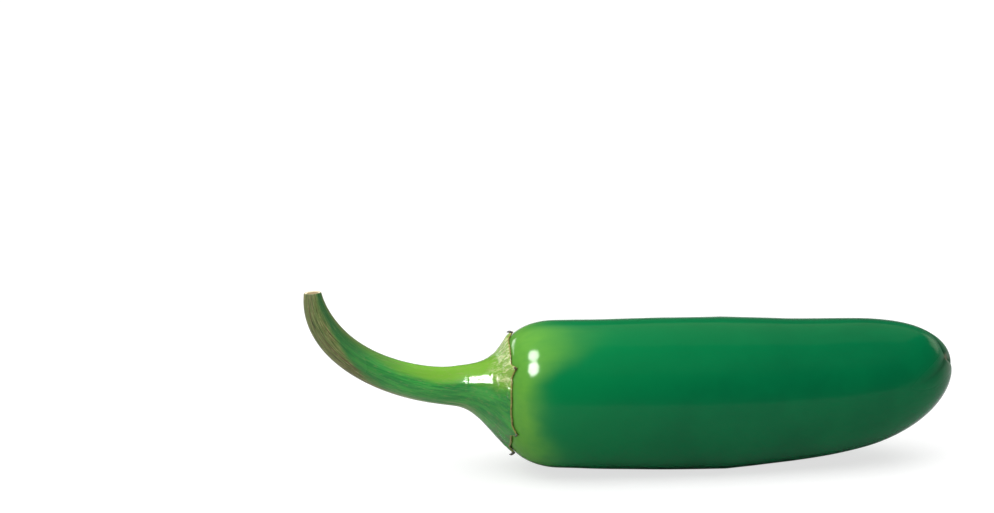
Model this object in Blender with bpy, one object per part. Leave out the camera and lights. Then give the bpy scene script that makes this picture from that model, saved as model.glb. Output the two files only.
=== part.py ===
"""A fresh green chilli pepper, picked, lying on its side: a glossy tapering pod, the calyx that caps its
shoulder, and a curved, ribbed stem that ends in a clean cut.

It is modelled with the centre of the calyx rim at the origin, +X towards the blossom end and +Z up, and is
then moved so that the origin lies under the middle of the whole fruit, on the surface that it rests on.
Angles round the fruit start at its front, -Y, and grow upwards over the top."""

import math

import bmesh
import bpy
import numpy as np
from mathutils import Vector

# Driving dimensions, in metres.
POD_LENGTH = 0.0846  # from the calyx rim to the blossom end
POD_RADIUS = 0.0145  # at the fullest place of the belly
BELLY_X = 0.040  # how far from the calyx rim that place is
SHOULDER_LOSS = 0.0008  # how much slimmer the pod is at the calyx than at the belly
TAPER_LOSS = 0.0030  # how much slimmer it would be at the blossom end if that were not rounded
SHOULDER_DEPTH = 0.0028  # how far the shoulder's dome rises under the calyx
SHOULDER_REACH = 0.0105  # from the top of that dome to where the sides run straight
SHOULDER_POWER = 4.0  # the higher, the squarer the shoulder
TIP_REACH = 0.0307  # the length over which the blossom end rounds off
TIP_POWER = 3.5
TIP_ROUNDNESS = 0.52
TIP_LIFT = 0.0039  # how far the blossom end turns up
SHOULDER_LIFT = 0.0012  # how far the shoulder stands above the belly
BEND_X = 0.0405  # where the pod's axis is lowest
LOBES = 3
LOBE_ANGLE = math.radians(82)
LOBE_BELLY = 0.004  # depth of the lobes as a share of the radius, at the belly
LOBE_TIP = 0.030  # and at the blossom end
DIMPLE_DEPTH = 0.0006
DIMPLE_RADIUS = 0.0016
REST_TRIM = 0.0003  # how far the soft belly flattens under the fruit's own weight

RIM_THICKNESS = 0.00045  # of the calyx at its free edge
RIM_BACK = 0.0010  # how far up the shoulder that edge lies
RIM_SKEW = 0.00055  # how much further up it lies at the front than at the top
TOOTH_ANGLES = (102, 41, -29, -73, 155, 215)  # degrees
TOOTH_REACH = 0.0010
TOOTH_HALF_WIDTH = math.radians(9)
RIM_DECAY = 0.0014  # how far up the calyx a tooth still shows
CALYX_LENGTH = 0.0095  # from the rim to where the stem takes over

STEM_BASE_RADIUS = 0.0039
STEM_TAPER = 0.031  # loss of radius for each metre along the stem
STEM_END_LOSS = 0.00085  # further loss over the dried last stretch
STEM_END_REACH = 0.0110
FLARE = 0.0078  # how much the stem widens into the calyx
FLARE_REACH = 0.00505
FLARE_POWER = 1.5
FLARE_TURN = 0.008  # over this length the sections turn from the pod's axis to the stem's
STEM_RIBS = 5
RIB_DEPTH = 0.035
STEM_END = Vector((-0.0378, 0.0015, 0.0204))
STEM_NODES = (  # place and direction of the stem's axis, from the calyx rim to the cut end
    (Vector((0, 0, 0)), Vector((-0.0035, 0, 0.0008))),
    (Vector((-0.0113, 0, 0.0020)), Vector((-0.0040, 0, 0.0001))),
    (STEM_END, Vector((-0.0004, 0.0004, 0.0080))),
)
STEM_HANDLES = ((1.0, 0.9), (2.8, 1.5))  # how far each stretch holds the directions of its two ends

GAP = 0.0003  # clearance between neighbouring solids
POD_RINGS = 44
POD_SIDES = 48
CALYX_RINGS = 9
CALYX_SIDES = 72
STEM_RINGS = 26
STEM_SIDES = 30

POD_GREEN = (0.005, 0.165, 0.040)
CALYX_GREEN = (0.300, 0.480, 0.110)
STEM_GREEN = (0.130, 0.280, 0.050)


def clear_scene():
    for obj in list(bpy.data.objects):
        bpy.data.objects.remove(obj, do_unlink=True)


def around(sides):
    """Evenly spaced angles for one ring of a loft."""
    return [2 * math.pi * i / sides for i in range(sides)]


def outward(angle):
    """The unit vector across the pod at an angle round it."""
    return Vector((0, -math.cos(angle), math.sin(angle)))


# The pod's surface.


def pod_axis(x):
    """The centre of the pod's section at x."""
    if x < BEND_X:
        lift = SHOULDER_LIFT * ((BEND_X - max(x, 0)) / BEND_X) ** 1.6
    else:
        lift = TIP_LIFT * ((x - BEND_X) / (POD_LENGTH - BEND_X)) ** 2.6
    return Vector((x, 0, lift - SHOULDER_LIFT))


def pod_radius(x):
    """The pod's mean radius at x: straight sides, a squarish shoulder and a rounded blossom end."""
    if x < BELLY_X:
        side = POD_RADIUS - SHOULDER_LOSS * ((BELLY_X - x) / BELLY_X) ** 2
    else:
        side = POD_RADIUS - TAPER_LOSS * (x - BELLY_X) / (POD_LENGTH - BELLY_X)
    down = min((x + SHOULDER_DEPTH) / SHOULDER_REACH, 1)
    shoulder = (1 - (1 - down) ** 2) ** (1 / SHOULDER_POWER)
    past = max(1 - (POD_LENGTH - x) / TIP_REACH, 0)
    tip = max(1 - past**TIP_POWER, 0) ** TIP_ROUNDNESS
    return side * shoulder * tip


def pod_point(x, angle):
    """A point of the pod's skin, with its lobes and the dimple of the blossom end."""
    past = max(1 - (POD_LENGTH - x) / TIP_REACH, 0)
    lobe = LOBE_BELLY + (LOBE_TIP - LOBE_BELLY) * past**2
    radius = pod_radius(x) * (1 + lobe * math.cos(LOBES * (angle - LOBE_ANGLE)))
    point = pod_axis(x) + radius * outward(angle)
    if x > BELLY_X:
        point.x -= DIMPLE_DEPTH * math.exp(-((radius / DIMPLE_RADIUS) ** 2))
    return point


# The stem and the calyx share one axis and one radius rule, because they grew as one flowing form.


def bezier(p0, p1, p2, p3, t):
    s = 1 - t
    return s**3 * p0 + 3 * s**2 * t * p1 + 3 * s * t**2 * p2 + t**3 * p3


def stem_axis(samples=400):
    """Points along the stem's axis, with the distance of each from the calyx rim."""
    points = []
    for (start, out), (end, into), (hold, meet) in zip(STEM_NODES, STEM_NODES[1:], STEM_HANDLES):
        handles = (start, start + hold * out, end - meet * into, end)
        points += [bezier(*handles, i / samples) for i in range(samples)]
    points.append(STEM_END.copy())
    along = [0.0]
    for a, b in zip(points, points[1:]):
        along.append(along[-1] + (b - a).length)
    return np.array(points), np.array(along)


AXIS_POINTS, AXIS_ALONG = stem_axis()
STEM_LENGTH = float(AXIS_ALONG[-1])


def axis_point(distance):
    return Vector([np.interp(distance, AXIS_ALONG, AXIS_POINTS[:, k]) for k in range(3)])


def section_frame(distance):
    """Two unit vectors across the stem, front and up, at a distance from the calyx rim."""
    step = 0.0002
    tangent = (axis_point(distance + step) - axis_point(distance - step)).normalized()
    if distance > STEM_LENGTH - step:
        tangent = STEM_NODES[-1][1].normalized()
    turn = min(distance / FLARE_TURN, 1)
    turn = turn * turn * (3 - 2 * turn)
    tangent = Vector((-1, 0, 0)).lerp(tangent, turn).normalized()
    up = (Vector((0, 1, 0)).cross(tangent)).normalized()
    return tangent.cross(up).normalized() * -1, up


def stem_radius(distance):
    """A slim taper that widens into the calyx and shrinks where the cut end has dried."""
    flare = FLARE * math.exp(-((max(distance, 0) / FLARE_REACH) ** FLARE_POWER))
    dried = max(1 - (STEM_LENGTH - distance) / STEM_END_REACH, 0)
    return STEM_BASE_RADIUS - STEM_TAPER * distance + flare - STEM_END_LOSS * dried**2


def stem_point(distance, angle):
    """A point of the skin of the stem or of the calyx's flare, with its soft lengthwise ribs."""
    front, up = section_frame(distance)
    ribs = RIB_DEPTH * min(distance / CALYX_LENGTH, 1) * math.cos(STEM_RIBS * angle)
    across = math.cos(angle) * front + math.sin(angle) * up
    return axis_point(distance) + stem_radius(distance) * (1 + ribs) * across


def tooth(angle):
    """How far the calyx's edge reaches out at an angle, from 0 between its teeth to 1 at a point."""
    reach = 0.0
    for degrees in TOOTH_ANGLES:
        off = abs(math.remainder(angle - math.radians(degrees), 2 * math.pi))
        reach = max(reach, 1 - off / TOOTH_HALF_WIDTH)
    return max(reach, 0) ** 1.5


def rim_x(angle):
    """Where the calyx's edge lies on the shoulder: a slightly skewed ring, with the teeth reaching out."""
    return TOOTH_REACH * tooth(angle) - RIM_BACK - RIM_SKEW * math.cos(angle)


def calyx_skin(share, angle):
    """The calyx's outer face, from share 0 at its edge, which lies on the pod, to 1 at the stem."""
    start = -rim_x(angle)
    distance = start + (CALYX_LENGTH - start) * share
    edge = pod_point(-start, angle) + Vector((-(GAP + RIM_THICKNESS) * 1.4, 0, 0))
    pull = math.exp((start - distance) / RIM_DECAY)
    return stem_point(distance, angle) + (edge - stem_point(start, angle)) * pull


def calyx_underside(share, angle):
    """The calyx's inner face, a clearance above the pod: share runs from 1 at the rim to 0 at the middle."""
    x = -SHOULDER_DEPTH + (rim_x(angle) + SHOULDER_DEPTH) * share
    return pod_point(x, angle) + Vector((-GAP * 1.4, 0, 0))


# Solids.


def loft(name, rings, start, end):
    """A closed solid through rings of equal length, closed at each end by a fan round a point."""
    mesh = bpy.data.meshes.new(name)
    shape = bmesh.new()
    loops = [[shape.verts.new(point) for point in ring] for ring in rings]
    for one, two in zip(loops, loops[1:]):
        for i in range(len(one)):
            j = (i + 1) % len(one)
            shape.faces.new((one[i], one[j], two[j], two[i]))
    for loop, point in ((loops[0], start), (loops[-1], end)):
        pole = shape.verts.new(point)
        for i in range(len(loop)):
            shape.faces.new((loop[i], loop[(i + 1) % len(loop)], pole))
    bmesh.ops.recalc_face_normals(shape, faces=shape.faces)
    if shape.calc_volume(signed=True) < 0:
        bmesh.ops.reverse_faces(shape, faces=shape.faces)
    shape.to_mesh(mesh)
    shape.free()
    mesh.shade_smooth()
    mesh.set_sharp_from_angle(angle=math.radians(40))
    obj = bpy.data.objects.new(name, mesh)
    bpy.context.collection.objects.link(obj)
    return obj


def material(name, colour, roughness, metallic=0.0):
    made = bpy.data.materials.new(name)
    made.use_nodes = True
    shader = made.node_tree.nodes["Principled BSDF"]
    shader.inputs["Base Color"].default_value = (*colour, 1)
    shader.inputs["Roughness"].default_value = roughness
    shader.inputs["Metallic"].default_value = metallic
    return made


def flatten_belly(obj):
    """Trims the lowest of the belly to one flat face, as a soft fruit has where it rests."""
    lowest = min(vertex.co.z for vertex in obj.data.vertices)
    shape = bmesh.new()
    shape.from_mesh(obj.data)
    everything = shape.verts[:] + shape.edges[:] + shape.faces[:]
    cut = bmesh.ops.bisect_plane(
        shape,
        geom=everything,
        dist=1e-5,
        plane_co=(0, 0, lowest + REST_TRIM),
        plane_no=(0, 0, -1),
        clear_outer=True,
    )
    edges = [item for item in cut["geom_cut"] if isinstance(item, bmesh.types.BMEdge)]
    bmesh.ops.contextual_create(shape, geom=edges)
    bmesh.ops.recalc_face_normals(shape, faces=shape.faces)
    shape.to_mesh(obj.data)
    shape.free()


def make_pod():
    angles = around(POD_SIDES)
    length = POD_LENGTH + SHOULDER_DEPTH
    # The rings crowd towards both ends, where the outline turns fastest.
    shares = [(1 - math.cos(math.pi * i / POD_RINGS)) / 2 for i in range(1, POD_RINGS)]
    rings = [[pod_point(share * length - SHOULDER_DEPTH, angle) for angle in angles] for share in shares]
    obj = loft("pod", rings, pod_point(-SHOULDER_DEPTH, 0), pod_point(POD_LENGTH, 0))
    flatten_belly(obj)
    obj.data.materials.append(material("pod_skin", POD_GREEN, 0.12))
    return obj


def make_calyx():
    angles = around(CALYX_SIDES)
    rings = []
    for i in range(CALYX_RINGS + 1):
        share = (1 - i / CALYX_RINGS) ** 1.5  # the rings crowd towards the rim
        rings.append([calyx_skin(share, angle) for angle in angles])
    for share in (1, 0.8, 0.55, 0.3, 0.1):
        rings.append([calyx_underside(share, angle) for angle in angles])
    obj = loft("calyx", rings, axis_point(CALYX_LENGTH), calyx_underside(0, 0))
    obj.data.materials.append(material("calyx_leaf", CALYX_GREEN, 0.45))
    return obj


def make_stem():
    angles = around(STEM_SIDES)
    start = CALYX_LENGTH + GAP
    rings = []
    for i in range(STEM_RINGS + 1):
        distance = start + (STEM_LENGTH - start) * i / STEM_RINGS
        rings.append([stem_point(distance, angle) for angle in angles])
    obj = loft("stem", rings, axis_point(start), STEM_END)
    obj.data.materials.append(material("stem_skin", STEM_GREEN, 0.5))
    return obj


def stand_on_origin(parts):
    """Moves the fruit so that the origin is under its middle, on the surface that it rests on."""
    points = [vertex.co for part in parts for vertex in part.data.vertices]
    low = Vector([min(point[k] for point in points) for k in range(3)])
    high = Vector([max(point[k] for point in points) for k in range(3)])
    shift = Vector((-(low.x + high.x) / 2, -(low.y + high.y) / 2, -low.z))
    for part in parts:
        for vertex in part.data.vertices:
            vertex.co += shift


clear_scene()
stand_on_origin([make_pod(), make_calyx(), make_stem()])
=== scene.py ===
# %% [markdown]
# # A fresh green chilli pepper, lying on its side
#
# A picked chilli has three organs, and each is a piece of its own here. The pod is the glossy fruit. The
# calyx is the green cap that flares from the stem onto the pod's shoulder and ends in small dry points.
# The stem is the curved, ribbed stalk with a clean cut end. All three grew by simple rules, as a tube
# whose width changes along a bent axis. So most of this lesson is about writing such a rule once and
# letting nodes carry it out.
#
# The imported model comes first. It is the fixed frame: it says where each organ is and how large it may be.

# %% Load the fixed frame
import math

import bmesh
import bpy
import numpy as np
from mathutils import Matrix, Vector, noise
from mathutils.bvhtree import BVHTree


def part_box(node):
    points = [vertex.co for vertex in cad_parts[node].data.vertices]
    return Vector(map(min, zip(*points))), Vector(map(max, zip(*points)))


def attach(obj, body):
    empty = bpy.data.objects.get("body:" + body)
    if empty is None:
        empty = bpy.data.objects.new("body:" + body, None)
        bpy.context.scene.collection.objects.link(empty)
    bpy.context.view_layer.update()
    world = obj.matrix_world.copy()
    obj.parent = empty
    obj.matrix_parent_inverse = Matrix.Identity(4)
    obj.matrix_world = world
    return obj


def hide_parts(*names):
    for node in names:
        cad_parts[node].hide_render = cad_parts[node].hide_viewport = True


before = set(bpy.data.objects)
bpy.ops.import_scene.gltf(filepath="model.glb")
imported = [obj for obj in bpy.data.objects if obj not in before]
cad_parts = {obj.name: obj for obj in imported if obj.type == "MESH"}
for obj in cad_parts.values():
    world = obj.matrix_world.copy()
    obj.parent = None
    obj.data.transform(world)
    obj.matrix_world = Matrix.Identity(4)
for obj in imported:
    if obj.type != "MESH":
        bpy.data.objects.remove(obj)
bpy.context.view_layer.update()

pod_low, pod_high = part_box("pod")
print("pod from", tuple(round(v, 4) for v in pod_low), "to", tuple(round(v, 4) for v in pod_high))

# %% [markdown]
# Everything is measured from one point, the centre of the calyx rim, where the three organs meet. The pod
# reaches a little past it under the calyx, so its place follows from the pod's box. +X runs to the blossom
# end, and angles round the fruit start at the front, -Y, and grow upwards over the top.

# %% The centre of the calyx rim
SHOULDER_DEPTH = 0.0028  # how far the pod's domed shoulder rises under the calyx
RIM_HEIGHT = 0.01535  # of the rim's centre above the surface that the belly rests on
RIM = Vector((pod_low.x + SHOULDER_DEPTH, (pod_low.y + pod_high.y) / 2, RIM_HEIGHT))
DIMPLE_LOSS = 0.00045  # what the dimple of the blossom end takes off the pod's length
POD_LENGTH = pod_high.x - RIM.x + DIMPLE_LOSS
print("calyx rim at", tuple(round(v, 4) for v in RIM))
print("pod", round(POD_LENGTH * 1000, 1), "mm long beyond it")

# %% [markdown]
# ## The camera
#
# The fruit is seen from its front, a little from the stem's side and from slightly above. A long lens
# keeps its proportions natural. The fruit lies low and to the right in the picture, so the camera aims at
# a point up and to the left of it.

# %% Camera
LENS = 100  # millimetres
DISTANCE = 0.5246
AZIMUTH = math.radians(-7)
ELEVATION = math.radians(13.2)
AIM_LEFT = 0.0247  # metres from the fruit's middle to the aim point
AIM_UP = 0.0259


def direction(azimuth, elevation):
    """A unit vector from the fruit: azimuth 0 is the front, and positive ones turn to the right."""
    return Vector(
        (
            math.sin(azimuth) * math.cos(elevation),
            -math.cos(azimuth) * math.cos(elevation),
            math.sin(elevation),
        )
    )


back = direction(AZIMUTH, ELEVATION)
right = Vector((math.cos(AZIMUTH), math.sin(AZIMUTH), 0))
up = back.cross(right)
middle = Vector((-0.0008, 0, 0.0147))
aim = middle - AIM_LEFT * right + AIM_UP * up

camera = bpy.data.objects.new("camera", bpy.data.cameras.new("camera"))
camera.data.lens = LENS
camera.location = aim + DISTANCE * back
camera.rotation_mode = "QUATERNION"
camera.rotation_quaternion = (-back).to_track_quat("-Z", "Y")
camera.data.clip_start = 0.01
bpy.context.scene.collection.objects.link(camera)
bpy.context.scene.camera = camera
print("camera at", tuple(round(v, 3) for v in camera.location))

# %% [markdown]
# ## Rules that read like formulas
#
# A surface that follows a rule needs many small arithmetic nodes. `Flow` wraps a node's output, so that
# ordinary Python arithmetic on it adds those nodes. The same formula then also works on plain numbers and
# on numpy arrays, and so one rule can serve both a node tree and a mesh that is shaped in code.

# %% Arithmetic that becomes nodes


class Flow:
    """A number, vector or colour that flows through a node tree."""

    def __init__(self, tree, socket, vector=False):
        self.tree = tree
        self.socket = socket
        self.vector = vector

    def __add__(self, other):
        return compute(self.tree, "ADD", self, other)

    def __radd__(self, other):
        return compute(self.tree, "ADD", other, self)

    def __sub__(self, other):
        return compute(self.tree, "SUBTRACT", self, other)

    def __rsub__(self, other):
        return compute(self.tree, "SUBTRACT", other, self)

    def __mul__(self, other):
        if self.vector and not is_vector(other):
            return stretch(self, other)
        return compute(self.tree, "MULTIPLY", self, other)

    def __rmul__(self, other):
        return self * other

    def __truediv__(self, other):
        return compute(self.tree, "DIVIDE", self, other)

    def __rtruediv__(self, other):
        return compute(self.tree, "DIVIDE", other, self)

    def __pow__(self, other):
        return compute(self.tree, "POWER", self, other)

    def __neg__(self):
        return self * -1


def is_vector(value):
    """Whether a value, fixed or flowing, has three parts."""
    return isinstance(value, tuple) or (isinstance(value, Flow) and value.vector)


def feed(tree, socket, value):
    """Gives a socket a value: a link where the value flows, a plain setting where it is fixed."""
    if isinstance(value, Flow):
        tree.links.new(value.socket, socket)
    else:
        socket.default_value = value


def compute(tree, operation, *values):
    """Adds a maths node, of the vector kind where any of the values is a vector."""
    vector = any(is_vector(value) for value in values)
    node = tree.nodes.new("ShaderNodeVectorMath" if vector else "ShaderNodeMath")
    node.operation = operation
    for socket, value in zip(node.inputs, values):
        feed(tree, socket, value)
    return Flow(tree, node.outputs[0], vector)


def stretch(vector, factor):
    """Multiplies a flowing vector by one number."""
    node = vector.tree.nodes.new("ShaderNodeVectorMath")
    node.operation = "SCALE"
    feed(vector.tree, node.inputs[0], vector)
    feed(vector.tree, node.inputs["Scale"], factor)
    return Flow(vector.tree, node.outputs[0], True)


# %% Functions that take a flow, a number or an array


def either(operation, plain):
    """A function that adds a node for a flow and calls numpy for anything else."""

    def apply(*values):
        flows = [value for value in values if isinstance(value, Flow)]
        return compute(flows[0].tree, operation, *values) if flows else plain(*values)

    return apply


exp = either("EXPONENT", np.exp)
sin = either("SINE", np.sin)
cos = either("COSINE", np.cos)
larger = either("MAXIMUM", np.maximum)
smaller = either("MINIMUM", np.minimum)


def clamp(value):
    """Keeps a value between 0 and 1."""
    return smaller(larger(value, 0), 1)


def ease(value, low=0.0, high=1.0):
    """Rises smoothly from 0 at low to 1 at high."""
    share = clamp((value - low) / (high - low))
    return share * share * (3 - 2 * share)


def bell(value, width):
    """1 at 0, and falling to almost nothing at twice the width on either side."""
    return exp((value / width) ** 2 * -1)


# %% Nodes that work in geometry and in materials alike


def add(tree, kind, *values, **settings):
    """Adds a node, sets its properties by name, and feeds its inputs in order (None leaves one alone)."""
    node = tree.nodes.new(kind)
    for name, setting in settings.items():
        setattr(node, name, setting)
    sockets = [socket for socket in node.inputs if socket.enabled]
    for socket, value in zip(sockets, values):
        if value is not None:
            feed(tree, socket, value)
    return node


def vector_of(tree, x, y, z):
    """One vector from three values."""
    return Flow(tree, add(tree, "ShaderNodeCombineXYZ", x, y, z).outputs[0], True)


def parts_of(vector):
    """The three values of a vector."""
    node = add(vector.tree, "ShaderNodeSeparateXYZ", vector)
    return [Flow(vector.tree, socket) for socket in node.outputs]


def cloud(vector, scale, detail=2.0, roughness=0.5):
    """Smooth random values, 0 to 1 and mostly near 0.5, with features about 1 / scale wide."""
    node = vector.tree.nodes.new("ShaderNodeTexNoise")
    feed(vector.tree, node.inputs["Vector"], vector)
    node.inputs["Scale"].default_value = scale
    node.inputs["Detail"].default_value = detail
    node.inputs["Roughness"].default_value = roughness
    return Flow(vector.tree, node.outputs[0])


# %% [markdown]
# ## The finishes
#
# Plant skin is not one colour. Pigment gathers in blotches, fibres run along the organ, and dry tissue
# turns brown. Each material below starts from the living colour and lays those changes over it, in the
# order in which they lie on the real thing. Colours are linear values.

# %% Helpers for materials


def shade(name, roughness, specular):
    """A new material, with its shader's fixed settings on the shader's own sockets."""
    made = bpy.data.materials.new(name)
    made.use_nodes = True
    tree = made.node_tree
    shader = tree.nodes["Principled BSDF"]
    shader.inputs["Roughness"].default_value = roughness
    shader.inputs["Specular IOR Level"].default_value = specular
    return made, tree, shader


def spot(tree):
    """The point of the surface, in metres."""
    return Flow(tree, tree.nodes.new("ShaderNodeTexCoord").outputs["Object"], True)


def place(tree):
    """The same point, measured from the centre of the calyx rim."""
    return spot(tree) - tuple(RIM)


def carried(tree, name):
    """A number that the mesh carries on its points, such as how deep in a crease each lies."""
    return Flow(tree, add(tree, "ShaderNodeAttribute", attribute_name=name).outputs["Fac"])


def grain(tree):
    """The stalk's own coordinates: the distance from the calyx rim, then the angle's cosine and sine."""
    node = add(tree, "ShaderNodeAttribute", attribute_name="grain")
    return Flow(tree, node.outputs["Vector"], True)


def lay(factor, under, over):
    """Lays one colour over another by a factor from 0 to 1."""
    tree = factor.tree
    node = tree.nodes.new("ShaderNodeMix")
    node.data_type = "RGBA"
    feed(tree, node.inputs[0], factor)
    for socket, colour in ((node.inputs[6], under), (node.inputs[7], over)):
        feed(tree, socket, colour if isinstance(colour, Flow) else (*colour, 1))
    return Flow(tree, node.outputs[2])


def relief(tree, shader, height):
    """Fine relief, from a height in metres, too small to be worth real faces."""
    bump = tree.nodes.new("ShaderNodeBump")
    bump.inputs["Distance"].default_value = 1.0
    feed(tree, bump.inputs["Height"], height)
    tree.links.new(bump.outputs["Normal"], shader.inputs["Normal"])


# %% [markdown]
# The pod's skin is a thin, clear, waxy layer over deep green flesh. The flesh is palest near the calyx,
# where it was shaded while it grew, and the yellow-green reaches further along the upper side than at the
# front. Along the very top it is held back, which paints a darker strip of shade there. At the blossom end
# the creases between the lobes are dull, and their colour is darkened as painted shade. They meet at the
# small brown scar that the flower left. A pale grey patch round the scar, on the two long lobes, is a
# painted reflection. The mesh carries how far each point lies in a crease, in the scar and in that pale
# patch, so the colour follows the shape exactly. The wax is almost perfectly smooth, and only a very
# faint relief breaks the edges of what it reflects.

# %% Pod skin
DEEP_GREEN = (0.0006, 0.140, 0.046)
DARK_GREEN = (0.0004, 0.118, 0.040)
LEAF_GREEN = (0.0020, 0.215, 0.058)
SHOULDER_GREEN = (0.135, 0.400, 0.052)
# painted shade, laid in the creases of the blossom end
CREASE_SHADE_GREEN = (0.0004, 0.050, 0.018)
# a painted reflection, laid round the scar on the two long lobes
END_REFLECTION_GREY = (0.210, 0.270, 0.210)
SCAR_BROWN = (0.100, 0.062, 0.022)
PALE_REACH = 0.0029  # how far the palest zone reaches past the calyx at the front
PALE_ABOVE = 0.0061  # how much further it reaches above
PALE_BELOW = 0.0022  # and below
FRESH_REACH = 0.019  # the same for the brighter green, at the front
FRESH_ABOVE = 0.026
WAX = 0.12  # roughness

pod_skin, tree, shader = shade("pod_skin", WAX, 0.12)
point = place(tree)
x, y, z = parts_of(point)
blotches = cloud(point, 110, 3)
streaks = cloud(point * (0.16, 1.0, 1.0), 900, 2)
wander = (cloud(point, 160, 2) - 0.5) * 0.003
# Painted shade: the pale zone is held back from the very top, leaving a darker strip along it.
upper = ease(z - x * 0.2 + wander, 0.0040, 0.0090) * (1 - ease(y, -0.0050, -0.0005) * 0.7)
lower = ease(-z, 0.003, 0.009)
past_rim = larger(x + wander, 0)
pale = exp(-(past_rim / (PALE_REACH + upper * PALE_ABOVE + lower * PALE_BELOW)) ** 2)
fresh = exp(-(past_rim / (FRESH_REACH + ease(z, 0.0, 0.014) * FRESH_ABOVE)) ** 1.6)
colour = lay(ease(blotches, 0.25, 0.75), DARK_GREEN, DEEP_GREEN)
colour = lay(fresh * 0.85, colour, LEAF_GREEN)
colour = lay(clamp(pale * (0.8 + streaks * 0.3)), colour, SHOULDER_GREEN)
groove = clamp(carried(tree, "groove"))
# Painted reflection: a pale grey patch round the scar.
colour = lay(carried(tree, "end_reflection") * 0.7, colour, END_REFLECTION_GREY)
# Painted shade: the creases are darkened in colour.
colour = lay(groove, colour, CREASE_SHADE_GREEN)
colour = lay(carried(tree, "scar") * 0.8, colour, SCAR_BROWN)
feed(tree, shader.inputs["Base Color"], colour)
feed(tree, shader.inputs["Roughness"], WAX + groove**0.5 * 0.6)
relief(tree, shader, cloud(point, 420, 2) * 0.000012 + cloud(point, 2400, 1) * 0.0000012)
print("pod skin:", len(tree.nodes), "nodes")

# %% [markdown]
# The stem is fibrous. Its streaks run along it, whatever way it curves, so its colour is drawn on the
# stem's own coordinates, the distance along it and the angle round it, which the mesh carries as an
# attribute. The angle is carried as a cosine and a sine, because a bare angle would leave a seam where it
# starts again. Stem and calyx are one living tissue: they share one green, yellower where the sun reached
# it, so that no edge shows where the two pieces meet. Towards the cut the stem has dried from its lower
# side, to olive skin with brown and pale fibres.

# %% Stem skin
STEM_GREEN = (0.062, 0.385, 0.066)
STEM_YELLOW = (0.170, 0.410, 0.036)
STEM_DARK = (0.026, 0.235, 0.050)
STEM_SHADE = (0.022, 0.105, 0.030)
FIBRE_BROWN = (0.120, 0.065, 0.030)
FIBRE_PALE = (0.330, 0.310, 0.130)
FIBRE_DARK = (0.035, 0.050, 0.016)
DRY_OLIVE = (0.150, 0.175, 0.050)
# a painted highlight, laid along the lower edge of stem and calyx
LOWER_EDGE_HIGHLIGHT = (0.330, 0.310, 0.200)


def stalk_colour(tree):
    """The colour stem and calyx share, a painted highlight on its lower edge, and the flows it is drawn
    with.
    """
    along, across, above = parts_of(grain(tree))
    fibres = cloud(vector_of(tree, along * 24, across, above), 5.5, 4, 0.65)
    patches = cloud(vector_of(tree, along * 130, across, above), 1.1, 2)
    colour = lay(ease(fibres, 0.35, 0.65), STEM_DARK, STEM_GREEN)
    late = ease(along, 0.014, 0.034)
    sunny = ease(above + (patches - 0.5) * 0.6 - late * 0.35, 0.15, 0.65) * (1 - late * 0.6)
    colour = lay(sunny, colour, STEM_YELLOW)
    spots = cloud(vector_of(tree, along * 60, across, above), 13, 3, 0.6)
    colour = lay(ease(spots, 0.50, 0.74) * 0.27, colour, FIBRE_PALE)
    # Painted highlight: a pale tan line along the stalk's lower edge.
    edge = bell(above + 0.85, 0.16) * ease(along, 0.003, 0.010)
    colour = lay(edge * ease(fibres, 0.30, 0.60) * 0.7, colour, LOWER_EDGE_HIGHLIGHT)
    return colour, along, across, above, fibres, patches


stem_skin, tree, shader = shade("stem_skin", 0.15, 0.25)
colour, along, across, above, fibres, patches = stalk_colour(tree)
dry = ease(along + (patches - 0.5) * 0.008, 0.020, 0.040)
limit = dry * 1.45 - 1.03  # how high the dried skin has climbed, more and more towards the cut
outer = ease(limit - above + (patches - 0.5) * 0.4, -0.20, 0.25) * ease(along, 0.016, 0.024)
colour = lay((1 - outer) * dry * 0.9, colour, STEM_SHADE)
colour = lay(outer * 0.85, colour, DRY_OLIVE)
coarse = cloud(vector_of(tree, along * 14, across, above), 6, 3, 0.6)
fine = cloud(vector_of(tree, along * 22, across, above), 17, 3, 0.65)
colour = lay(ease(coarse, 0.48, 0.62) * outer * 0.65, colour, FIBRE_BROWN)
colour = lay(ease(fine, 0.53, 0.63) * (outer * 0.75 + dry * 0.15), colour, FIBRE_PALE)
colour = lay((1 - ease(fine, 0.34, 0.45)) * (outer * 0.8 + dry * 0.15), colour, FIBRE_DARK)
colour = lay(bell(above - 0.97, 0.10) * dry * 0.7, colour, DRY_OLIVE)
feed(tree, shader.inputs["Base Color"], colour)
feed(tree, shader.inputs["Roughness"], 0.15 + dry * 0.30)
relief(tree, shader, fibres * 0.00005 + fine * (0.1 + dry) * 0.00010)
print("stem skin:", len(tree.nodes), "nodes")

# %% [markdown]
# Where the stem was cut, the pale inside shows: a cream ring of wood round a darker, shrunken pith.

# %% Cut face of the stem
CREAM = (0.900, 0.800, 0.560)
PITH = (0.300, 0.220, 0.090)

cut_face, tree, shader = shade("cut_face", 0.7, 0.3)
point = spot(tree)
inward = carried(tree, "inward")
cells = cloud(point, 2600, 3)
colour = lay(ease(inward + (cells - 0.5) * 0.20, 0.24, 0.34), CREAM, PITH)
colour = lay(ease(0.14 - inward, 0, 0.08) * 0.6, colour, FIBRE_BROWN)
feed(tree, shader.inputs["Base Color"], colour)
relief(tree, shader, cells * 0.00012)
print("cut face:", len(tree.nodes), "nodes")

# %% [markdown]
# The calyx is the remains of the flower's green cup. Its flare is smooth and green like the stem. Towards
# its rim the upper side has dried a little: the skin is pale, crinkled and patchy. The rim itself is a
# thin yellowish edge. Its underside, where it has come away from the pod, is dry brown, darkened as
# painted shade of the gap.

# %% Calyx skin
CALYX_LEAF = (0.060, 0.330, 0.045)
CALYX_PALE = (0.300, 0.480, 0.100)
CALYX_CREAM = (0.640, 0.700, 0.330)
CALYX_FLUSH = (0.130, 0.110, 0.070)
RIM_YELLOW = (0.330, 0.270, 0.080)
# the rim's dry brown underside, darkened as painted shade of the gap
RIM_BROWN_AND_SHADE = (0.100, 0.055, 0.020)

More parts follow.
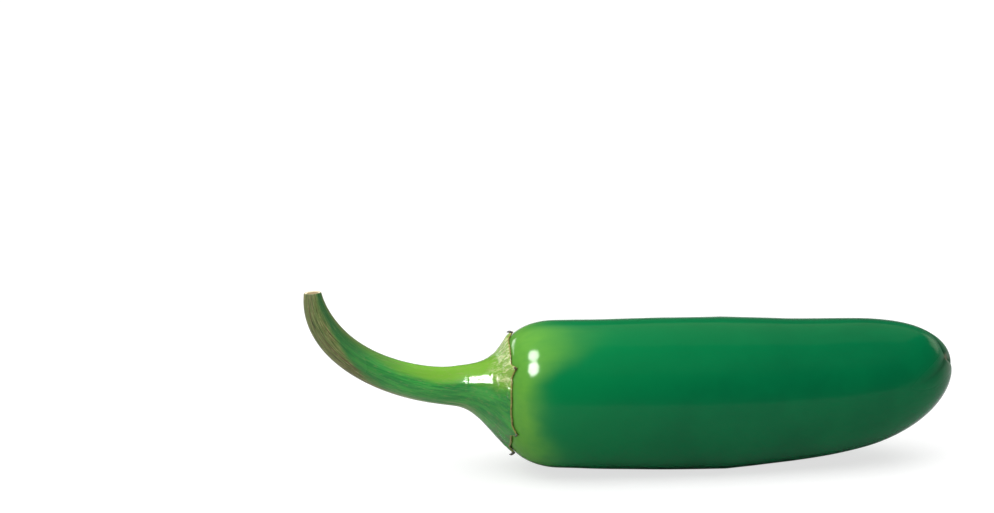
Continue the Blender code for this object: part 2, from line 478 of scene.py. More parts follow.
calyx_skin, tree, shader = shade("calyx_skin", 0.15, 0.25)
point = place(tree)
colour, along, across, above, fibres, _ = stalk_colour(tree)
patches = cloud(point, 420, 3, 0.6)
crackle = cloud(point, 1500, 3, 0.65)
streaks = cloud(vector_of(tree, along * 50, across, above), 12, 3, 0.6)
near_rim = 1 - ease(along + (patches - 0.5) * 0.005, 0.0010, 0.0062)
upper = ease(above + (patches - 0.5) * 0.9, 0.15, 0.60)
colour = lay(near_rim * ease(streaks, 0.42, 0.60) * 0.6, colour, CALYX_LEAF)
colour = lay(near_rim * upper * 0.75, colour, CALYX_PALE)
colour = lay(clamp(near_rim * 1.4) * upper * ease(streaks, 0.47, 0.58) * 0.85, colour, CALYX_CREAM)
colour = lay(near_rim * bell(above + 0.85, 0.30) * ease(patches, 0.42, 0.60) * 0.6, colour, CALYX_FLUSH)
rim_line = 1 - ease(along + (crackle - 0.5) * 0.0003, 0.00002, 0.00024)
colour = lay(rim_line * 0.8, colour, RIM_YELLOW)
# Dry brown and painted shade: the rim's underside, darkened as the shade of the gap.
under = ease(-along + (crackle - 0.5) * 0.0002, 0.0, 0.0001)
colour = lay(under, colour, RIM_BROWN_AND_SHADE)
feed(tree, shader.inputs["Base Color"], colour)
relief(tree, shader, streaks * near_rim * 0.00025 + crackle * near_rim * 0.00006 + fibres * 0.00005)
print("calyx skin:", len(tree.nodes), "nodes")

# %% The dry points of the calyx
POINT_BLACK = (0.018, 0.022, 0.012)
POINT_BROWN = (0.110, 0.075, 0.030)

dry_point, tree, shader = shade("dry_point", 0.55, 0.4)
point = spot(tree)
mottle = cloud(point, 2200, 3)
feed(tree, shader.inputs["Base Color"], lay(ease(mottle, 0.42, 0.62), POINT_BLACK, POINT_BROWN))
relief(tree, shader, mottle * 0.0001)
print("dry points:", len(tree.nodes), "nodes")

# %% [markdown]
# ## Growing a surface with Geometry Nodes
#
# Each tree starts from a flat grid and bends it into a tube: one side of the grid runs along the organ and
# the other round it. The tree's sizes are named inputs. Once the surface stands, it is made a plain mesh
# and the modifier goes, so that nothing is left to evaluate.

# %% Build and run a tree
SOCKETS = {
    float: "NodeSocketFloat",
    int: "NodeSocketInt",
    Vector: "NodeSocketVector",
    bpy.types.Material: "NodeSocketMaterial",
    bpy.types.Object: "NodeSocketObject",
}


def start_tree(name, values):
    """A tree with an input for each value, named as in values, and a geometry output."""
    tree = bpy.data.node_groups.new(name, "GeometryNodeTree")
    tree.interface.new_socket("Geometry", in_out="INPUT", socket_type="NodeSocketGeometry")
    tree.interface.new_socket("Geometry", in_out="OUTPUT", socket_type="NodeSocketGeometry")
    for title, value in values.items():
        tree.interface.new_socket(title, in_out="INPUT", socket_type=SOCKETS[type(value)])
    group = tree.nodes.new("NodeGroupInput")
    sizes = {}
    for title, value in values.items():
        sizes[title] = Flow(tree, group.outputs[title], isinstance(value, Vector))
    return tree, sizes


def end_tree(tree, geometry):
    """Sends the finished geometry out of the tree."""
    out = tree.nodes.new("NodeGroupOutput")
    tree.links.new(geometry, out.inputs[0])


def grow(name, tree, values, mesh=None):
    """Runs a tree on a new object, and leaves that object with the plain mesh that came out."""
    obj = bpy.data.objects.new(name, mesh or bpy.data.meshes.new(name))
    bpy.context.scene.collection.objects.link(obj)
    modifier = obj.modifiers.new("grow", "NODES")
    modifier.node_group = tree
    sockets = [item for item in tree.interface.items_tree if item.in_out == "INPUT"]
    identifiers = {item.name: item.identifier for item in sockets}
    for title, value in values.items():
        modifier[identifiers[title]] = tuple(value) if isinstance(value, Vector) else value
    graph = bpy.context.evaluated_depsgraph_get()
    grown = bpy.data.meshes.new_from_object(
        obj.evaluated_get(graph), preserve_all_data_layers=True, depsgraph=graph
    )
    obj.modifiers.remove(modifier)
    obj.data = grown
    grown.name = name
    print(name, "-", len(grown.vertices), "points,", len(grown.polygons), "faces")
    return obj


def wrapping(tree, rows, sides):
    """A grid to wrap into a tube, with its two shares from 0 to 1: along the tube, and round it."""
    grid = add(tree, "GeometryNodeMeshGrid", 1.0, 1.0, rows + 1, sides + 1)
    position = Flow(tree, tree.nodes.new("GeometryNodeInputPosition").outputs[0], True)
    along, around, _ = parts_of(position)
    return grid.outputs["Mesh"], along + 0.5, around + 0.5


def pipe(tree, geometry, kind, socket="Geometry"):
    """Adds a node that takes the geometry in and hands it on."""
    node = tree.nodes.new(kind)
    tree.links.new(geometry, node.inputs[socket])
    return node


def store(tree, geometry, name, value):
    """Stores a value on every point, so that the plain mesh still carries it."""
    node = pipe(tree, geometry, "GeometryNodeStoreNamedAttribute")
    node.data_type = "FLOAT_VECTOR" if value.vector else "FLOAT"
    node.domain = "POINT"
    node.inputs["Name"].default_value = name
    socket = [s for s in node.inputs if s.name == "Value" and s.enabled][0]
    feed(tree, socket, value)
    return node.outputs[0]


MERGE = 1e-6  # metres: closer points are one


def close_and_finish(tree, geometry, position, material, inside_out=False):
    """Moves the grid's points to their places, joins the seam and the poles, and sets the material."""
    moved = pipe(tree, geometry, "GeometryNodeSetPosition")
    feed(tree, moved.inputs["Position"], position)
    merged = pipe(tree, moved.outputs[0], "GeometryNodeMergeByDistance")
    merged.inputs["Distance"].default_value = MERGE
    last = merged.outputs[0]
    if inside_out:
        last = pipe(tree, last, "GeometryNodeFlipFaces", "Mesh").outputs[0]
    smooth = pipe(tree, last, "GeometryNodeSetShadeSmooth")
    real = pipe(tree, smooth.outputs[0], "GeometryNodeRealizeInstances")
    painted = pipe(tree, real.outputs[0], "GeometryNodeSetMaterial")
    feed(tree, painted.inputs["Material"], material)
    return painted.outputs[0]


print("sockets for", len(SOCKETS), "kinds of input")

# %% [markdown]
# ## The pod
#
# The pod is a tube round an axis that sags a little at the belly. Its width is nearly constant, rounds off
# squarely at the shoulder, and closes gently over the last third. Three lobes, one for each chamber of the
# fruit, hardly show at the belly and deepen towards the blossom end. There three creases run out from the
# scar, which lies a little off the axis, and one lobe ends nearly a millimetre short of the other two.
# Growth is never quite even, so the skin also rises and falls by up to a tenth of a millimetre.

# %% The pod's sizes
POD = {
    "Rows": 280,
    "Sides": 320,
    "Origin": RIM,
    "Length": POD_LENGTH,
    "Radius": (pod_high.y - pod_low.y) / 2,
    "Belly": 0.040,  # where the pod is fullest
    "Shoulder loss": 0.0008,
    "Taper loss": 0.0030,
    "Shoulder depth": SHOULDER_DEPTH,
    "Shoulder reach": 0.0105,
    "Shoulder power": 4.0,
    "Tip reach": 0.0307,
    "Tip power": 3.5,
    "Tip roundness": 0.52,
    "Tip lift": 0.0039,
    "Shoulder lift": 0.0012,
    "Bend": 0.0405,
    "Lobe angle": math.radians(82),
    "Lobe depth at belly": 0.004,
    "Lobe depth at tip": 0.030,
    "Scar front": 0.0026,  # the scar lies this far in front of the axis
    "Scar height": 0.0026,  # and this far above it
    "Crease depth": 0.00038,
    "Step": 0.0009,  # by which one lobe ends short of the other two
    "Dimple radius": 0.0011,
    "Unevenness": 0.00022,
    "Skin": pod_skin,
}
LOBES = 3
CREASES = (-13, 112, 236)  # degrees round the scar
SHORT_LOBE = math.radians(53)  # the middle of the lobe that ends short
CREASE_HALF_WIDTH = 0.00055  # at the scar
CREASE_WIDENING = 0.08
CREASE_REACH = 0.0085
CONTACT_HEIGHT = 0.00002  # the belly flattens this close above the surface it rests on


def pod_section(x, left, size):
    """The height of the section's centre, its mean radius, and how far into the blossom end it is."""
    before = larger(size["Bend"] - larger(x, 0), 0) / size["Bend"]
    after = larger(x - size["Bend"], 0) / (size["Length"] - size["Bend"])
    centre = size["Shoulder lift"] * (before**1.6 - 1) + size["Tip lift"] * after**2.6
    slimmer = (larger(size["Belly"] - x, 0) / size["Belly"]) ** 2
    taper = larger(x - size["Belly"], 0) / (size["Length"] - size["Belly"])
    side = size["Radius"] - size["Shoulder loss"] * slimmer - size["Taper loss"] * taper
    down = smaller((x + size["Shoulder depth"]) / size["Shoulder reach"], 1)
    shoulder = larger(1 - (1 - down) ** 2, 0) ** (1 / size["Shoulder power"])
    past = larger(1 - left / size["Tip reach"], 0)
    tip = larger(1 - past ** size["Tip power"], 0) ** size["Tip roundness"]
    return centre, side * shoulder * tip, past


# %% The pod's tree
tree, size = start_tree("pod rule", POD)
grid, share, around = wrapping(tree, size["Rows"], size["Sides"])
span = size["Length"] + size["Shoulder depth"]
crowded = (1 - cos(share * math.pi)) / 2  # the rows crowd towards both ends, where the outline turns
left = span * (1 - crowded)
x = size["Length"] - left
angle = around * (2 * math.pi)
centre, radius, past = pod_section(x, left, size)

lobe = size["Lobe depth at belly"] + (size["Lobe depth at tip"] - size["Lobe depth at belly"]) * past**2
swell = cos((angle - size["Lobe angle"]) * LOBES)
out = vector_of(tree, 0.0, -cos(angle), sin(angle))
waves = cloud(vector_of(tree, x * 75, cos(angle), sin(angle)) + (3.1, 0.0, 0.0), 1.25, 1) - 0.5
uneven = size["Unevenness"] * waves * ease(x, 0, 0.012)
radius = radius * (1 + lobe * swell + uneven / size["Radius"])

ripe = ease(past, 0.55, 0.95)  # the creases are there only at the blossom end
forward = radius * cos(angle) - size["Scar front"]
above = radius * sin(angle) - size["Scar height"]
spread = larger((forward * forward + above * above) ** 0.5, 0.00001)
groove = 0.0
for degrees in CREASES:
    ahead, beside = math.cos(math.radians(degrees)), math.sin(math.radians(degrees))
    outlying = forward * ahead + above * beside  # how far out along the crease
    off = above * ahead - forward * beside  # and how far to its side
    wide = CREASE_HALF_WIDTH + CREASE_WIDENING * larger(outlying, 0)
    fade = ease(outlying, -0.0002, 0.0012) * bell(outlying, CREASE_REACH)
    groove = groove + exp(larger(off, -off) / wide * -1) * fade
lean = (forward * math.cos(SHORT_LOBE) + above * math.sin(SHORT_LOBE)) / spread
shorter = ease(lean, 0.15, 0.60)
short = larger(shorter * bell(spread, 0.007), bell(spread, size["Dimple radius"]))
facing = past**5  # near the scar the skin faces along the pod, and further back across it
sunk = vector_of(tree, facing, 0.0, 0.0) + out * (1 - facing)
position = vector_of(tree, x - size["Step"] * short * ease(past, 0.7, 1), 0.0, centre) + out * radius
position = position - sunk * (size["Crease depth"] * groove * ripe) + size["Origin"]
lengthwise, sideways, height = parts_of(position)
position = vector_of(tree, lengthwise, sideways, larger(height, CONTACT_HEIGHT))
geometry = store(tree, grid, "groove", groove * ripe)
geometry = store(tree, geometry, "scar", bell(spread, 0.0006) * ease(past, 0.7, 1))
# where the pale patch of painted reflection lies round the scar
geometry = store(tree, geometry, "end_reflection", (1 - shorter) * bell(spread, 0.0036) * ease(past, 0.75, 0.95))
end_tree(tree, close_and_finish(tree, geometry, position, size["Skin"]))
print("pod rule:", len(tree.nodes), "nodes")

# %% Grow the pod
pod = grow("pod_flesh", tree, POD)
pod_tree = BVHTree.FromPolygons([v.co for v in pod.data.vertices], [p.vertices for p in pod.data.polygons])
pod_top = max(v.co.z for v in pod.data.vertices)
print("top of the pod", round(pod_top * 1000, 2), "mm, in the frame", round(pod_high.z * 1000, 2), "mm")

# %% [markdown]
# ## The stem and the calyx
#
# Stem and calyx grew as one flowing form, so they share one axis and one rule for their width. The axis is
# a smooth curve: it leaves the shoulder almost straight, droops slightly, and then sweeps up to the cut
# end. The rule adds five soft ribs, and in front a swollen ridge that bridges the hollow of the flare. The
# ridge is nearly straight along its crest, which is why the light draws one long glint on it.

# %% Their common axis
STALK = {
    "Base radius": 0.0039,
    "Taper": 0.031,
    "End loss": 0.00085,
    "End reach": 0.0110,
    "Flare": 0.0078,
    "Flare reach": 0.00505,
    "Flare power": 1.5,
    "Flare turn": 0.008,
    "Rib depth": 0.035,
    "Rib start": 0.0095,
    "Swelling": 0.116,  # of the front, where the flower's base was
    "Swelling place": 0.0078,
    "Swelling reach": 0.0027,
    "Ridge": 0.090,  # of the soft edge that runs over the swelling
    "Ridge place": 0.0089,
    "Ridge reach": 0.0060,
    "Ridge width": 0.385,  # radians
    "Ridge angle": 0.54,  # radians above the front, at the rim
    "Ridge slant": 16.4,  # radians that it turns down for each metre along
}
RIBS = 5
AXIS_NODES = (  # place and direction of the axis, from the calyx rim to the cut end
    (Vector((0, 0, 0)), Vector((-0.0035, 0, 0.0008))),
    (Vector((-0.0113, 0, 0.0020)), Vector((-0.0040, 0, 0.0001))),
    (Vector((-0.0378, 0.0015, 0.0204)), Vector((-0.0004, 0.0004, 0.0080))),
)
AXIS_HANDLES = ((1.0, 0.9), (2.8, 1.5))  # how far each stretch holds the directions of its two ends


def stalk_axis(steps=160):
    """Points along the axis, and the distance of each from the calyx rim."""
    points = []
    for (start, out), (end, into), (hold, meet) in zip(AXIS_NODES, AXIS_NODES[1:], AXIS_HANDLES):
        first, last = start + hold * out, end - meet * into
        for t in np.arange(steps) / steps:
            s = 1 - t
            points.append(s**3 * start + 3 * s * s * t * first + 3 * s * t * t * last + t**3 * end)
    points = np.array(points + [AXIS_NODES[-1][0]]) + np.array(RIM)
    steps_between = np.linalg.norm(np.diff(points, axis=0), axis=1)
    return points, np.concatenate(([0], np.cumsum(steps_between)))


axis_points, axis_along = stalk_axis()
STALK_LENGTH = float(axis_along[-1])
print("stalk", round(STALK_LENGTH * 1000, 1), "mm from the calyx rim to the cut")

# %% The rule for their width


def stalk_radius(along, size, length):
    """A slim taper that widens into the calyx and shrinks where the cut end has dried."""
    flare = size["Flare"] * exp((larger(along, 0) / size["Flare reach"]) ** size["Flare power"] * -1)
    dried = larger(1 - (length - along) / size["End reach"], 0)
    return size["Base radius"] - size["Taper"] * along + flare - size["End loss"] * dried**2


def stalk_ribs(along, angle, size):
    """Soft lengthwise ribs, and a swollen ridge in front, as a share of the radius."""
    ribs = size["Rib depth"] * smaller(along / size["Rib start"], 1) * cos(angle * RIBS)
    lean = angle - size["Ridge angle"] + along * size["Ridge slant"]
    swollen = bell(along - size["Swelling place"], size["Swelling reach"]) * larger(cos(lean), 0) ** 6
    edge = bell(along - size["Ridge place"], size["Ridge reach"]) * bell(lean, size["Ridge width"])
    return ribs + size["Swelling"] * swollen + size["Ridge"] * edge


print("widest", round(stalk_radius(0.0, STALK, STALK_LENGTH) * 2000, 1), "mm across at the rim")

# %% [markdown]
# The stem's tree wraps its grid round the axis, which it samples as a curve. Fine fibres stand out more
# and more towards the dry end. The last rows turn inward over the cut and sink a little at the pith.

# %% The stem's tree
CALYX_LENGTH = 0.0095
STEM = {
    "Rows": 260,
    "Sides": 160,
    "Path": bpy.data.objects.new("axis", bpy.data.curves.new("axis", "CURVE")),
    "Start": CALYX_LENGTH - 0.0012,
    **STALK,
    "Fibre height": 0.00016,
    "Cut sink": 0.00025,
    "Tuck": 0.00006,  # how far the stem's hidden start lies inside the calyx
    "Skin": stem_skin,
    "Cut": cut_face,
}
COVER_ROWS = 0.015  # share of the rows that close the hidden start
CUT_ROWS = 0.08  # and the cut end

path = STEM["Path"].data
path.dimensions = "3D"
spline = path.splines.new("POLY")
spline.points.add(len(axis_points) - 1)
spline.points.foreach_set("co", np.c_[axis_points, np.ones(len(axis_points))].ravel())
bpy.context.scene.collection.objects.link(STEM["Path"])

tree, size = start_tree("stem rule", STEM)
grid, share, around = wrapping(tree, size["Rows"], size["Sides"])
angle = around * (2 * math.pi)
info = add(tree, "GeometryNodeObjectInfo")
feed(tree, info.inputs["Object"], size["Path"])
measure = add(tree, "GeometryNodeCurveLength")
tree.links.new(info.outputs["Geometry"], measure.inputs["Curve"])
length = Flow(tree, measure.outputs["Length"])
body = clamp((share - COVER_ROWS) / (1 - CUT_ROWS - COVER_ROWS))
along = size["Start"] + (length - size["Start"]) * body
closing = smaller(share / COVER_ROWS, 1) * smaller((1 - share) / CUT_ROWS, 1)

sample = add(tree, "GeometryNodeSampleCurve", mode="LENGTH")
tree.links.new(info.outputs["Geometry"], sample.inputs["Curves"])
feed(tree, sample.inputs["Length"], along)
centre = Flow(tree, sample.outputs["Position"], True)
ahead = Flow(tree, sample.outputs["Tangent"], True)
turn = ease(along / size["Flare turn"])
ahead = compute(tree, "NORMALIZE", ahead * turn + vector_of(tree, turn - 1, 0.0, 0.0))
upward = compute(tree, "NORMALIZE", compute(tree, "CROSS_PRODUCT", (0, 1, 0), ahead))
frontward = compute(tree, "CROSS_PRODUCT", upward, ahead)

radius = stalk_radius(along, size, length) * (1 + stalk_ribs(along, angle, size))
grain_place = vector_of(tree, along * 24, cos(angle), sin(angle))
fibres = cloud(grain_place, 5.5, 3, 0.6) - 0.5
late = ease(along, size["Start"] + 0.0015, length)
radius = radius + fibres * size["Fibre height"] * (0.1 + late * 0.9) * ease(along, size["Start"], 0.0125)
radius = radius - size["Tuck"] * (1 - ease(along, CALYX_LENGTH - 0.0004, CALYX_LENGTH + 0.0004))
inward = 1 - smaller((1 - share) / CUT_ROWS, 1)
sink = size["Cut sink"] * (ease(inward, 0.05, 0.2) * 0.4 + ease(inward, 0.4, 0.7) * 0.6)
position = centre - ahead * sink + (frontward * cos(angle) + upward * sin(angle)) * (radius * closing)
geometry = store(tree, grid, "grain", vector_of(tree, along, cos(angle), sin(angle)))
geometry = store(tree, geometry, "inward", inward)
geometry = close_and_finish(tree, geometry, position, size["Skin"], inside_out=True)
capped = pipe(tree, geometry, "GeometryNodeSetMaterial")
named = add(tree, "GeometryNodeInputNamedAttribute", "inward", data_type="FLOAT")
on_cut = add(tree, "FunctionNodeCompare", data_type="FLOAT", operation="GREATER_THAN")
tree.links.new(named.outputs[0], on_cut.inputs[0])
on_cut.inputs[1].default_value = 0.02
tree.links.new(on_cut.outputs[0], capped.inputs["Selection"])
feed(tree, capped.inputs["Material"], size["Cut"])
end_tree(tree, capped.outputs[0])
print("stem rule:", len(tree.nodes), "nodes")

# %% Grow the stem
stem = grow("stem_stalk", tree, STEM)
bpy.data.objects.remove(STEM["Path"])

# %% [markdown]
# The calyx is shaped in code, because it does what a simple rule doesn't: its edge has to lie on the pod
# that has just grown. Rings run from the stem down the flare to the rim, round the rim's edge, and back
# under it. Rays cast at the pod find where the edge lands. Then the skin is crinkled, most of all near the
# rim and on the upper side.

# %% Helpers for the calyx
TOOTH_ANGLES = [math.radians(a) for a in (102, 41, -29, -73, 155, 215)]
TOOTH_REACH = 0.0010
RIM_BACK = 0.0010  # how far up the shoulder the edge lies
RIM_SKEW = 0.00055  # how much further up it lies at the front than at the top
TOOTH_HALF_WIDTH = math.radians(9)
RIM_DECAY = 0.0014  # how far up the calyx its edge still shapes it
RIM_THICKNESS = 0.00030
RIM_GAP = 0.00008  # the dry rim has come away from the pod by this much
SIDES = 288


def stalk_frame(along):
    """The axis' point and the two directions across it, front and up, at a distance from the rim."""
    step = 0.0002
    at = []
    for distance in (along - step, along, along + step):
        at.append(np.array([np.interp(distance, axis_along, axis_points[:, k]) for k in range(3)]))
    ahead = Vector(at[2] - at[0]).normalized()
    ahead = Vector((-1, 0, 0)).lerp(ahead, float(ease(along / STALK["Flare turn"]))).normalized()
    upward = Vector((0, 1, 0)).cross(ahead).normalized()
    return Vector(at[1]), upward.cross(ahead), upward


def tooth(angle):
    """How far the edge reaches out at an angle, from 0 between the points to 1 at one."""
    off = min(abs(math.remainder(angle - at, 2 * math.pi)) for at in TOOTH_ANGLES)
    return max(1 - off / TOOTH_HALF_WIDTH, 0) ** 1.5


def outward(angle):
    """The direction across the pod at an angle from its front."""
    return Vector((0, -math.cos(angle), math.sin(angle)))


def rim_x(angle):
    """Where the edge lies along the pod: a slightly skewed, slightly wavy ring with points."""
    wave = 0.00015 * noise.noise(outward(angle) * 3.5)
    return TOOTH_REACH * tooth(angle) - RIM_BACK - RIM_SKEW * math.cos(angle) + wave


def on_pod(x, angle):
    """The point and the normal of the pod's skin at a distance from the rim's plane and an angle."""
    start = RIM + Vector((x, 0, 0))
    hit, normal, _, _ = pod_tree.ray_cast(start, outward(angle))
    return hit, normal


def on_dome(share, angle):
    """A point of the dome under the calyx: share 1 is at the rim, 0 in the middle."""
    edge, _ = on_pod(rim_x(angle), angle)
    start = RIM.lerp(edge, share) - Vector((0.02, 0, 0))
    hit, _, _, _ = pod_tree.ray_cast(start, Vector((1, 0, 0)))
    return hit


print("calyx:", len(TOOTH_ANGLES), "points round its edge")

# %% Shape the calyx
FLARE_ROWS = 90
EDGE_ROWS = 5
UNDER_ROWS = 10
CRINKLE = 0.00022
CRINKLE_REACH = 0.0048


def crinkle(point, along, angle):
    """How far the skin stands out: wrinkles near the rim, and soft folds that run up to each point."""
    near = math.exp(-((along / CRINKLE_REACH) ** 2))
    upper = 0.45 + 0.55 * float(ease(math.sin(angle), -0.3, 0.6))
    wrinkle = noise.noise(point * 900) + 0.6 * noise.noise(point * 1900 + Vector((5, 1, 2)))
    fold = max(math.exp(-((math.remainder(angle - at, 2 * math.pi) / 0.16) ** 2)) for at in TOOTH_ANGLES)
    rise = 0.00018 * fold * math.exp(-(((along - 0.002) / 0.003) ** 2))
    return CRINKLE * near * upper * wrinkle + rise


def stalk_skin(along, angle):
    """A point of the flare before the rim shapes it, and the direction across the stalk there."""
    middle, front, upward = stalk_frame(along)
    across = front * math.cos(angle) + upward * math.sin(angle)
    width = float(stalk_radius(along, STALK, STALK_LENGTH))
    return middle + across * (width * (1 + float(stalk_ribs(along, angle, STALK)))), across


angles = [2 * math.pi * k / SIDES for k in range(SIDES)]
starts = [-rim_x(angle) for angle in angles]
seats = [on_pod(-start, angle) for start, angle in zip(starts, angles)]  # landing point and normal
roots = [stalk_skin(start, angle)[0] for start, angle in zip(starts, angles)]


def calyx_ring(share, lift, bulge=0.0):
    """One ring of points, from share 1 at the stem to 0 at the rim, where the pod draws it to itself."""
    ring = []
    for angle, start, root, (edge, normal) in zip(angles, starts, roots, seats):
        beyond = (CALYX_LENGTH - start) * share
        skin, across = stalk_skin(start + beyond, angle)
        pull = math.exp(-beyond / RIM_DECAY)
        down = (Vector((1, 0, 0)) - normal * normal.x).normalized()
        target = edge + normal * lift + down * bulge
        point = skin + (target - root) * pull
        ring.append(point + across * (crinkle(point, beyond, angle) * (1 - pull * 0.4)))
    return ring


rings, grains = [], []
for i in range(FLARE_ROWS + 1):
    share = (1 - i / FLARE_ROWS) ** 1.5
    rings.append(calyx_ring(share, RIM_GAP + RIM_THICKNESS))
    grains.append(CALYX_LENGTH * share)
for i in range(1, EDGE_ROWS + 1):
    turn = math.pi * i / EDGE_ROWS
    lift = RIM_GAP + RIM_THICKNESS * (1 + math.cos(turn)) / 2
    bulge = RIM_THICKNESS * 0.5 * math.sin(turn)
    rings.append(calyx_ring(0.0, lift, bulge))
    grains.append(-0.0001 * i / EDGE_ROWS)
for i in range(1, UNDER_ROWS + 1):
    share = 1 - i / (UNDER_ROWS + 1)
    rings.append([on_dome(share, angle) - Vector((RIM_GAP * 2, 0, 0)) for angle in angles])
    grains.append(-0.0002)
print("calyx:", len(rings), "rings of", SIDES)

# %% Join the rings into one closed shell


def loft(name, rings, grains, start, end, material):
    """A closed surface through the rings, with a fan to a middle point at each end."""
    shape = bmesh.new()
    carried = shape.verts.layers.float_vector.new("grain")
    loops = []
    for ring, along in zip(rings, grains):
        loop = []
        for k, point in enumerate(ring):
            angle = 2 * math.pi * k / len(ring)
            vertex = shape.verts.new(point)
            vertex[carried] = Vector((along, math.cos(angle), math.sin(angle)))
            loop.append(vertex)
        loops.append(loop)
    for one, two in zip(loops, loops[1:]):
        for k in range(len(one)):
            j = (k + 1) % len(one)
            shape.faces.new((one[k], one[j], two[j], two[k]))
    for loop, point in ((loops[0], start), (loops[-1], end)):
        pole = shape.verts.new(point)
        for k in range(len(loop)):
            shape.faces.new((loop[k], loop[(k + 1) % len(loop)], pole))
    bmesh.ops.recalc_face_normals(shape, faces=shape.faces)
    mesh = bpy.data.meshes.new(name)
    shape.to_mesh(mesh)
    shape.free()
    mesh.shade_smooth()
    mesh.set_sharp_from_angle(angle=math.radians(50))
    mesh.materials.append(material)
    obj = bpy.data.objects.new(name, mesh)
    bpy.context.scene.collection.objects.link(obj)
    print(name, "-", len(mesh.vertices), "points,", len(mesh.polygons), "faces")
    return obj


neck, _, _ = stalk_frame(CALYX_LENGTH)
dome = on_dome(0.0, 0.0) - Vector((RIM_GAP * 2, 0, 0))
calyx = loft("calyx_cap", rings, grains, neck, dome, calyx_skin)

# %% [markdown]
# Each point of the calyx ends in a hook of dry tissue, about a millimetre long. One hook is modelled from
# a small grid, and the tree sets a copy of it at every point of the edge, turned and sized by attributes
# that those places carry.

# %% The hooks' tree
HOOK = {
    "Length": 0.0012,
    "Thickness": 0.00034,
    "Curl": 1.9,
    "Rows": 14,
    "Sides": 10,
    "Skin": dry_point,
}
tree, size = start_tree("hooks", HOOK)
grid, share, around = wrapping(tree, size["Rows"], size["Sides"])
angle = around * (2 * math.pi)
bend = share * size["Curl"]
reach = size["Length"] / size["Curl"]
thick = size["Thickness"] * (larger(1 - share**1.6, 0) ** 0.8) * smaller(share * 14, 1)
knobbly = 1 + 0.35 * (cloud(vector_of(tree, share * 3, cos(angle), sin(angle)), 1.6, 2) - 0.5)
spine = vector_of(tree, reach * sin(bend), 0.0, reach * (1 - cos(bend)))
aside = vector_of(tree, -sin(bend) * sin(angle), cos(angle) * 1.5, cos(bend) * sin(angle))
hook = close_and_finish(tree, grid, spine + aside * (thick * knobbly), size["Skin"])
group = tree.nodes.new("NodeGroupInput")
spread = pipe(tree, group.outputs["Geometry"], "GeometryNodeInstanceOnPoints", "Points")
tree.links.new(hook, spread.inputs["Instance"])
turned = add(tree, "GeometryNodeInputNamedAttribute", "turned", data_type="FLOAT_VECTOR")
as_turn = add(tree, "FunctionNodeEulerToRotation")
tree.links.new(turned.outputs[0], as_turn.inputs[0])
tree.links.new(as_turn.outputs[0], spread.inputs["Rotation"])
sized = add(tree, "GeometryNodeInputNamedAttribute", "sized", data_type="FLOAT")
tree.links.new(sized.outputs[0], spread.inputs["Scale"])
real = pipe(tree, spread.outputs[0], "GeometryNodeRealizeInstances")
painted = pipe(tree, real.outputs[0], "GeometryNodeSetMaterial")
feed(tree, painted.inputs["Material"], size["Skin"])
end_tree(tree, painted.outputs[0])
print("hooks:", len(tree.nodes), "nodes")

# %% Set a hook at every point of the edge
HOOK_SIZES = (1.0, 0.8, 0.75, 1.0, 0.8, 0.7)
HOOK_TILTS = (-1.2, -0.4, -0.2, -0.9, -0.6, -0.5)  # radians off the pod's skin

places = bpy.data.meshes.new("hook_places")
seat_points, turns = [], []
for at, tilt in zip(TOOTH_ANGLES, HOOK_TILTS):
    edge, normal = on_pod(rim_x(at) - TOOTH_REACH * 0.3, at)
    seat_points.append(edge + normal * RIM_THICKNESS * 0.6)
    along = (Vector((1, 0, 0)) - normal * normal.x).normalized()
    basis = Matrix((along, normal.cross(along), normal)).transposed()
    turns.append((basis @ Matrix.Rotation(tilt, 3, "Y")).to_euler())
places.from_pydata(seat_points, [], [])
places.attributes.new("turned", "FLOAT_VECTOR", "POINT").data.foreach_set("vector", np.ravel(turns))
places.attributes.new("sized", "FLOAT", "POINT").data.foreach_set("value", HOOK_SIZES)
hooks = grow("calyx_points", tree, HOOK, places)

# %% [markdown]
# ## The studio
#
# A wide white floor, and large soft lights. A glossy skin shows the lights themselves, so the light that
# shapes the fruit and the light that shines on it are set apart: some lamps only brighten, and others are
# only seen as reflections. The floor and the room do the same. To the camera the floor glows a little, so
# that it looks as white as the room behind it and keeps only a faint shadow, while the fruit is lit by
# plain pale paper. In the wax the room is brightest just above the horizon and dims upwards, as walls do.
# Two round windows draw the glints on the shoulder and on the stem's base. A card on either side lightens
# the calyx behind and the blossom end, and a wide, dim, yellowish sky lies along the top of the pod.

# %% Floor and world
FLOOR_RADIUS = 6.0
PAPER = (0.62, 0.62, 0.62)  # as the fruit sees the floor
PAPER_SEEN = (0.36, 0.36, 0.36)  # as the camera does, with its own glow added
PAPER_GLOW = 0.70
BACKDROP = 1.3  # how bright the room is to the camera
ROOM_LIGHT = 0.22  # how strongly it lights the fruit
WALL_DIM = 0.03  # how bright its upper part is in reflections
WALL_BRIGHT = 0.30  # how much brighter it is at the horizon
bpy.ops.mesh.primitive_circle_add(vertices=96, radius=FLOOR_RADIUS, fill_type="NGON", location=(0, 0, 0))
floor = bpy.context.object
floor.name = "floor"
paper, tree, shader = shade("paper", 1.0, 0.0)
seen = Flow(tree, tree.nodes.new("ShaderNodeLightPath").outputs["Is Camera Ray"])
feed(tree, shader.inputs["Base Color"], lay(seen, PAPER, PAPER_SEEN))
shader.inputs["Emission Color"].default_value = (1, 1, 1, 1)
feed(tree, shader.inputs["Emission Strength"], seen * PAPER_GLOW)
floor.data.materials.append(paper)

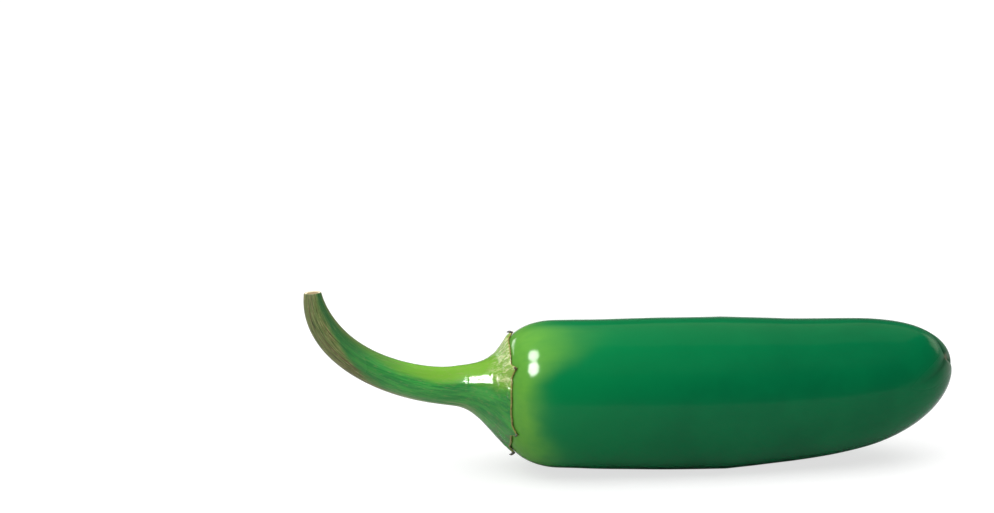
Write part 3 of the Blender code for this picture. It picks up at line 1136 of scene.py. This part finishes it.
world = bpy.data.worlds.new("room")
world.use_nodes = True
tree = world.node_tree
ray = tree.nodes.new("ShaderNodeLightPath")
seen = Flow(tree, ray.outputs["Is Camera Ray"])
mirrored = Flow(tree, ray.outputs["Is Glossy Ray"])
towards = Flow(tree, tree.nodes.new("ShaderNodeTexCoord").outputs["Generated"], True)
glow = WALL_DIM + WALL_BRIGHT * exp(larger(parts_of(towards)[2], 0) / -0.12)
strength = seen * BACKDROP + mirrored * glow + (1 - seen - mirrored) * ROOM_LIGHT
feed(tree, tree.nodes["Background"].inputs["Color"], (1, 1, 1, 1))
feed(tree, tree.nodes["Background"].inputs["Strength"], strength)
bpy.context.scene.world = world
bpy.context.scene.view_settings.view_transform = "Standard"
print("floor", FLOOR_RADIUS * 2, "m across")

# %% Lights


WHITE = (1, 1, 1)


def light_panel(name, place, size, radiance, colour=WHITE, shape="RECTANGLE"):
    """A flat light that faces the fruit from a place given as azimuth, elevation and distance."""
    azimuth, elevation, distance = place
    light = bpy.data.lights.new(name, "AREA")
    light.shape = shape
    light.size, light.size_y = size
    light.energy = radiance * size[0] * size[1] * math.pi  # radiance 1 is about as bright as white paper
    light.color = colour
    panel = bpy.data.objects.new(name, light)
    towards = direction(math.radians(azimuth), math.radians(elevation))
    panel.location = middle + distance * towards
    panel.rotation_euler = towards.to_track_quat("Z", "Y").to_euler()
    panel.visible_camera = False
    bpy.context.scene.collection.objects.link(panel)
    return panel


brightening = (
    light_panel("overhead", (0, 86, 1.6), (2.8, 2.8), 1.95),
    light_panel("front_left", (-48, 50, 1.1), (0.7, 0.7), 1.8),
)
for panel in brightening:
    panel.visible_glossy = False

mirrored_only = (
    light_panel("window_low", (-59, 44.5, 0.8), (0.29, 0.29), 70, shape="ELLIPSE"),
    light_panel("window_high", (-83, 59, 0.8), (0.27, 0.24), 52, shape="ELLIPSE"),
    light_panel("side_card", (-142, 17, 0.8), (0.34, 0.10), 6.5),
    light_panel("end_card", (122, 18, 0.8), (0.36, 0.26), 1.6, (1.0, 1.0, 0.8)),
    light_panel("sky", (176, 60, 1.2), (1.8, 1.25), 0.38, (1.0, 0.95, 0.6)),
)
for panel in mirrored_only:
    panel.visible_diffuse = False
print("lights:", len(brightening), "that brighten and", len(mirrored_only), "that only shine")

# %% [markdown]
# ## Hand the pieces over
#
# Every piece rides on the fruit's one body and stands in for its organ in the frame.

# %% Ride and replace
for piece, node, slot in (
    (pod, "pod", "pod_skin"),
    (calyx, "calyx", "calyx_leaf"),
    (hooks, "calyx", "calyx_leaf"),
    (stem, "stem", "stem_skin"),
):
    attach(piece, "root")
    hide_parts(node)
